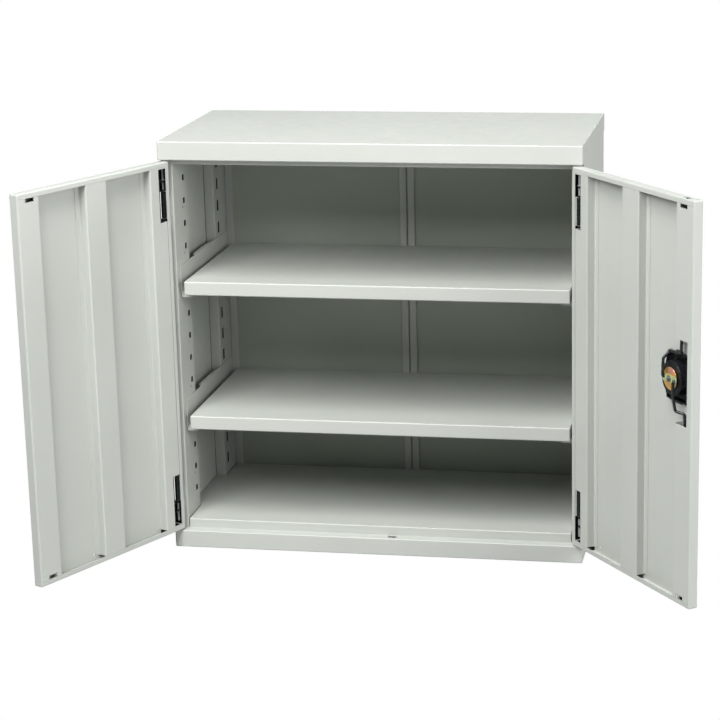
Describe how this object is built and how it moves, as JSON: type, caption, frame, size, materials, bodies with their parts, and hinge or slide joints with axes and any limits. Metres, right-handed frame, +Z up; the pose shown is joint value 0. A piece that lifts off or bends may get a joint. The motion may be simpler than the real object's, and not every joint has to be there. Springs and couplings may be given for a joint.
{
  "type": "tool cabinet",
  "caption": "Half-height sheet steel cabinet with two hinged doors, height-adjustable shelves on slotted posts, and a turn-handle lock that drives rods up and down.",
  "frame": {"origin": "middle of the base tray's underside", "axes": "+X to the viewer's right, +Y to the back, +Z up; the doors are on the -Y side"},
  "size_m": [1.352, 0.8484, 0.9],
  "materials": {
    "powder_coat": "pale grey-green fine powder coat, satin",
    "zinc_plate": "bright zinc plate",
    "yellow_zinc": "yellow passivated zinc",
    "black_moulding": "black moulded plastic, satin",
    "black_steel": "black oxide steel",
    "plug_metal": "nickel plated"
  },
  "bodies": {
    "cabinet": {"top_tray": "powder_coat", "header_rail": "powder_coat", "base_tray": "powder_coat", "floor_pan": "powder_coat", "left_side_panel": "powder_coat", "right_side_panel": "powder_coat", "left_back_panel": "powder_coat", "right_back_panel": "powder_coat", "front_left_post": "powder_coat", "front_right_post": "powder_coat", "rear_left_post": "powder_coat", "rear_right_post": "powder_coat", "upper_shelf": "powder_coat", "lower_shelf": "powder_coat", "upper_left_shelf_bracket": "powder_coat", "upper_right_shelf_bracket": "powder_coat", "lower_left_shelf_bracket": "powder_coat", "lower_right_shelf_bracket": "powder_coat", "upper_left_hinge_leaf": "powder_coat", "lower_left_hinge_leaf": "powder_coat", "upper_right_hinge_leaf": "powder_coat", "lower_right_hinge_leaf": "powder_coat"},
    "left_door": {"left_door_panel": "powder_coat", "left_door_hinge_stiffener": "powder_coat", "left_door_middle_stiffener": "powder_coat", "left_door_edge_stiffener": "powder_coat", "upper_left_hinge_bracket": "black_steel", "lower_left_hinge_bracket": "black_steel", "upper_left_hinge_pin": "zinc_plate", "lower_left_hinge_pin": "zinc_plate"},
    "right_door": {"right_door_panel": "powder_coat", "right_door_hinge_stiffener": "powder_coat", "right_door_middle_stiffener": "powder_coat", "right_door_edge_stiffener": "powder_coat", "upper_right_hinge_bracket": "black_steel", "lower_right_hinge_bracket": "black_steel", "upper_right_hinge_pin": "zinc_plate", "lower_right_hinge_pin": "zinc_plate", "lock_housing": "black_moulding"},
    "lock_handle": {"turn_handle": "black_moulding", "cam_disc": "yellow_zinc", "cam_lever": "yellow_zinc", "cam_screw": "zinc_plate"},
    "lock_key": {"key_plug": "plug_metal"},
    "upper_rod": {"upper_lock_rod": "black_steel"},
    "lower_rod": {"lower_lock_rod": "black_steel"}
  },
  "joints": [
    {"name": "left_door_hinge", "type": "hinge", "parent": "cabinet", "child": "left_door", "pos_m": [-0.4425, -0.2175, 0.449], "axis": [0, 0, -1], "range_deg": [-115.2, 14.8]},
    {"name": "right_door_hinge", "type": "hinge", "parent": "cabinet", "child": "right_door", "pos_m": [0.4425, -0.2175, 0.449], "axis": [0, 0, 1], "range_deg": [-127, 3]},
    {"name": "handle_turn", "type": "hinge", "parent": "right_door", "child": "lock_handle", "pos_m": [0.65639, -0.52211, 0.497], "axis": [0.7986, 0.6018, 0], "range_deg": [0, 90]},
    {"name": "key_turn", "type": "hinge", "parent": "lock_handle", "child": "lock_key", "pos_m": [0.65639, -0.52211, 0.497], "axis": [0.7986, 0.6018, 0], "range_deg": [0, 90]},
    {"name": "upper_rod_pivot", "type": "hinge", "parent": "lock_handle", "child": "upper_rod", "pos_m": [0.63973, -0.51163, 0.497], "axis": [0.7986, 0.6018, 0], "range_deg": [-93.5, 0]},
    {"name": "lower_rod_pivot", "type": "hinge", "parent": "lock_handle", "child": "lower_rod", "pos_m": [0.66187, -0.54102, 0.497], "axis": [0.7986, 0.6018, 0], "range_deg": [-93.5, 0]}
  ],
  "couplings": [
    {"joint": "upper_rod_pivot", "follows": "handle_turn", "ratio": -1.0325},
    {"joint": "lower_rod_pivot", "follows": "handle_turn", "ratio": -1.0268}
  ]
}
